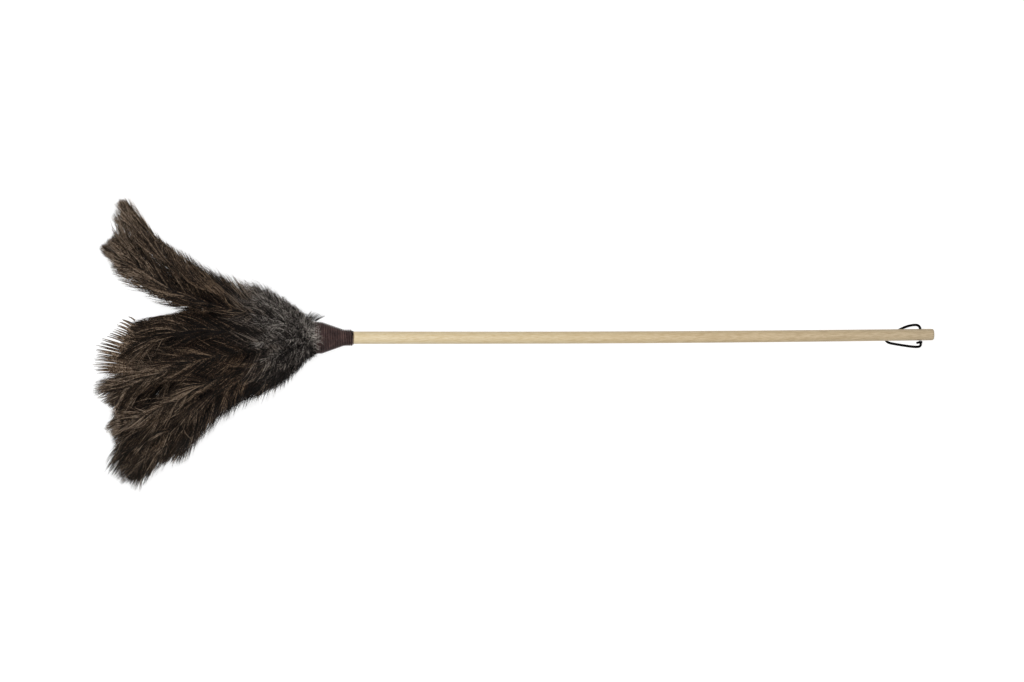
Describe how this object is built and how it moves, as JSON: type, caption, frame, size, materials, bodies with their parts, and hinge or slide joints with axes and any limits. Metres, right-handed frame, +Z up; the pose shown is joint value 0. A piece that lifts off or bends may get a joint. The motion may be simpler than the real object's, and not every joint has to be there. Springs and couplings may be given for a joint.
{
  "type": "feather duster",
  "caption": "Feather duster with a long straight wooden handle, a thread-wound binding, layered plumes and a cord loop to hang it by, lying on a flat surface.",
  "frame": {"origin": "on the surface that the duster lies on, under the middle of its bounding box measured without the hanging loop and its knot", "axes": "+X towards the free end of the handle, +Z up; the feathers lie towards -X and their upper tuft towards +Y"},
  "size_m": [0.9002, 0.3078, 0.1248],
  "materials": {
    "dowel_wood": "sanded, unvarnished",
    "lacquered_thread": "lacquered thread",
    "amber_glue": "set glue",
    "tie_wire_steel": "bare wire",
    "feather_vane": "soft barbs",
    "feather_down": "downy",
    "black_cord": "waxed cord"
  },
  "bodies": {
    "duster": {"handle_rod": "dowel_wood", "binding_core": "lacquered_thread", "binding_winding": "lacquered_thread", "glue_bead": "amber_glue", "inner_tie_wire": "tie_wire_steel", "middle_tie_wire": "tie_wire_steel", "inner_feather_01": "feather_vane", "inner_feather_02": "feather_vane", "inner_feather_03": "feather_vane", "inner_feather_04": "feather_vane", "inner_feather_05": "feather_vane", "inner_feather_06": "feather_vane", "inner_feather_07": "feather_vane", "inner_feather_08": "feather_vane", "middle_feather_01": "feather_vane", "middle_feather_02": "feather_vane", "middle_feather_03": "feather_vane", "middle_feather_04": "feather_vane", "middle_feather_05": "feather_vane", "middle_feather_06": "feather_vane", "middle_feather_07": "feather_vane", "middle_feather_08": "feather_vane", "middle_feather_09": "feather_vane", "middle_feather_10": "feather_vane", "middle_feather_11": "feather_vane", "outer_feather_01": "feather_vane", "outer_feather_02": "feather_vane", "outer_feather_03": "feather_vane", "outer_feather_04": "feather_vane", "outer_feather_05": "feather_vane", "outer_feather_06": "feather_vane", "outer_feather_07": "feather_vane", "outer_feather_08": "feather_vane", "outer_feather_09": "feather_vane", "outer_feather_10": "feather_vane", "outer_feather_11": "feather_vane", "outer_feather_12": "feather_vane", "outer_feather_13": "feather_vane", "outer_feather_14": "feather_vane", "outer_feather_15": "feather_vane", "outer_feather_16": "feather_vane", "down_feather_01": "feather_down", "down_feather_02": "feather_down", "down_feather_03": "feather_down", "down_feather_04": "feather_down", "down_feather_05": "feather_down", "down_feather_06": "feather_down", "down_feather_07": "feather_down", "down_feather_08": "feather_down", "down_feather_09": "feather_down", "down_feather_10": "feather_down", "down_feather_11": "feather_down", "down_feather_12": "feather_down", "down_feather_13": "feather_down", "down_feather_14": "feather_down", "down_feather_15": "feather_down", "down_feather_16": "feather_down"},
    "hanging_loop": {"hang_loop": "black_cord", "loop_knot": "black_cord"}
  },
  "joints": [
    {"name": "loop_swing", "type": "hinge", "parent": "duster", "child": "hanging_loop", "pos_m": [0.43518, 0.00159, 0.00734], "axis": [0, -1, 0], "range_deg": [0, 315]}
  ]
}
